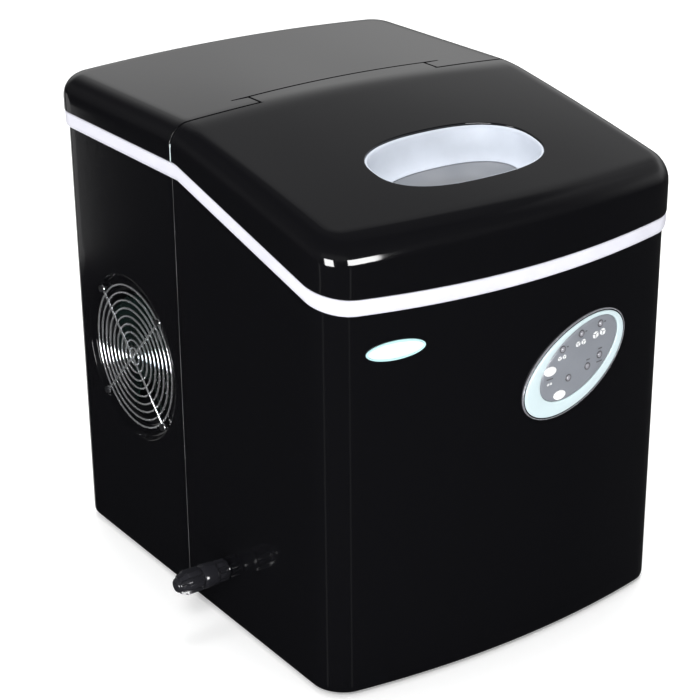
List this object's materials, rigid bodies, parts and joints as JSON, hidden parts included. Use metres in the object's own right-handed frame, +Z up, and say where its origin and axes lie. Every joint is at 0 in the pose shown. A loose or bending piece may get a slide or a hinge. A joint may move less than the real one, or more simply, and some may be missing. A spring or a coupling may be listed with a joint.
{
  "type": "countertop ice maker",
  "caption": "Bowed black countertop ice maker with a hinged windowed lid, lift-out ice basket, tilting water tray, finger evaporator and fan-cooled compressor.",
  "frame": {"origin": "middle of the overall box at floor level; the overall box includes the drain that stands out on the left, so the casing's own middle plane is at x = +23.25 mm", "axes": "+Z up, -Y towards the front with the control panel, +X towards the machine's right as seen from the front"},
  "size_m": [0.4034, 0.4396, 0.437],
  "materials": {
    "gloss_black": "polished",
    "matt_black": "satin",
    "trim_pale": "satin",
    "liner_white": "satin",
    "tray_grey": "satin",
    "clear_plastic": "clear",
    "panel_aqua": "satin",
    "panel_grey": "satin",
    "white_plastic": "satin",
    "chrome_wire": "plated",
    "nickel": "plated",
    "copper": "drawn tube",
    "aluminium": "plain",
    "steel": "zinc plated",
    "compressor_paint": "enamel",
    "rubber_black": "moulded",
    "foam_white": "expanded foam",
    "board_green": "circuit board",
    "hose_clear": "translucent"
  },
  "bodies": {
    "casing": {"front_shell": "gloss_black", "rear_shell": "gloss_black", "trim_band": "trim_pale", "base_pan": "steel", "foot_front_left": "rubber_black", "foot_front_right": "rubber_black", "foot_rear_left": "rubber_black", "foot_rear_right": "rubber_black", "badge": "white_plastic", "cord_gland": "rubber_black", "rear_cover": "gloss_black", "hinge_pin_left": "steel", "hinge_pin_right": "steel", "control_bezel": "panel_aqua", "control_faceplate": "panel_grey", "indicator_lenses": "clear_plastic", "control_board": "board_green", "inner_tub": "liner_white", "tub_insulation": "foam_white", "ice_sensor_emitter": "matt_black", "ice_sensor_receiver": "matt_black", "evaporator": "nickel", "evaporator_cover": "liner_white", "tray_motor": "matt_black", "water_pump": "matt_black", "pump_hose": "hose_clear", "float_stem": "liner_white", "drain_fitting": "matt_black", "drain_hose": "hose_clear", "fan_frame": "matt_black", "fan_motor": "steel", "fan_grille": "chrome_wire", "grille_screw_1": "steel", "grille_screw_2": "steel", "grille_screw_3": "steel", "grille_screw_4": "steel", "compressor": "compressor_paint", "compressor_grommet_1": "rubber_black", "compressor_grommet_2": "rubber_black", "compressor_grommet_3": "rubber_black", "condenser": "aluminium", "discharge_tube": "copper", "suction_tube": "copper", "filter_drier": "copper", "liquid_line": "copper", "capillary_tube": "copper", "main_board": "board_green"},
    "lid": {"lid": "gloss_black", "window_frame": "liner_white", "lid_window": "clear_plastic"},
    "ice_basket": {"ice_basket": "tray_grey"},
    "water_tray": {"water_tray": "tray_grey"},
    "ice_shovel": {"ice_shovel": "tray_grey"},
    "fan_rotor": {"fan_rotor": "matt_black"},
    "drain_washer": {"drain_washer": "rubber_black"},
    "drain_cap": {"drain_cap": "matt_black"},
    "select_button": {"select_button": "white_plastic"},
    "power_button": {"power_button": "white_plastic"},
    "level_float": {"level_float": "tray_grey"}
  },
  "joints": [
    {"name": "lid_hinge", "type": "hinge", "parent": "casing", "child": "lid", "pos_m": [0.02325, 0.02775, 0.4322], "axis": [-1, 0, 0], "range_deg": [0, 95]},
    {"name": "basket_lift", "type": "slide", "parent": "casing", "child": "ice_basket", "axis": [0, 0, 1], "range_m": [0, 0.018]},
    {"name": "water_tray_tilt", "type": "hinge", "parent": "casing", "child": "water_tray", "pos_m": [0.02325, 0.07975, 0.327], "axis": [1, 0, 0], "range_deg": [0, 60]},
    {"name": "ice_shovel_swing", "type": "hinge", "parent": "casing", "child": "ice_shovel", "pos_m": [0.02325, 0.00575, 0.346], "axis": [-1, 0, 0], "range_deg": [0, 55]},
    {"name": "fan_spin", "type": "hinge", "parent": "casing", "child": "fan_rotor", "pos_m": [-0.13675, 0.10625, 0.197], "axis": [1, 0, 0], "continuous": true},
    {"name": "drain_cap_travel", "type": "slide", "parent": "casing", "child": "drain_washer", "axis": [-1, 0, 0], "range_m": [0, 0.0091]},
    {"name": "drain_cap_turn", "type": "hinge", "parent": "drain_washer", "child": "drain_cap", "pos_m": [-0.19175, -0.04225, 0.053], "axis": [-1, 0, 0], "range_deg": [0, 1080]},
    {"name": "select_button_press", "type": "slide", "parent": "casing", "child": "select_button", "axis": [0, 1, 0], "range_m": [0, 0.0012], "stiffness_N_per_m": 500},
    {"name": "power_button_press", "type": "slide", "parent": "casing", "child": "power_button", "axis": [0, 1, 0], "range_m": [0, 0.0012], "stiffness_N_per_m": 500},
    {"name": "float_rise", "type": "slide", "parent": "casing", "child": "level_float", "axis": [0, 0, 1], "range_m": [0, 0.018]}
  ],
  "couplings": [
    {"joint": "ice_shovel_swing", "follows": "water_tray_tilt", "ratio": 0.9},
    {"joint": "drain_cap_travel", "follows": "drain_cap_turn", "m_per_rad": 0.00047746}
  ]
}
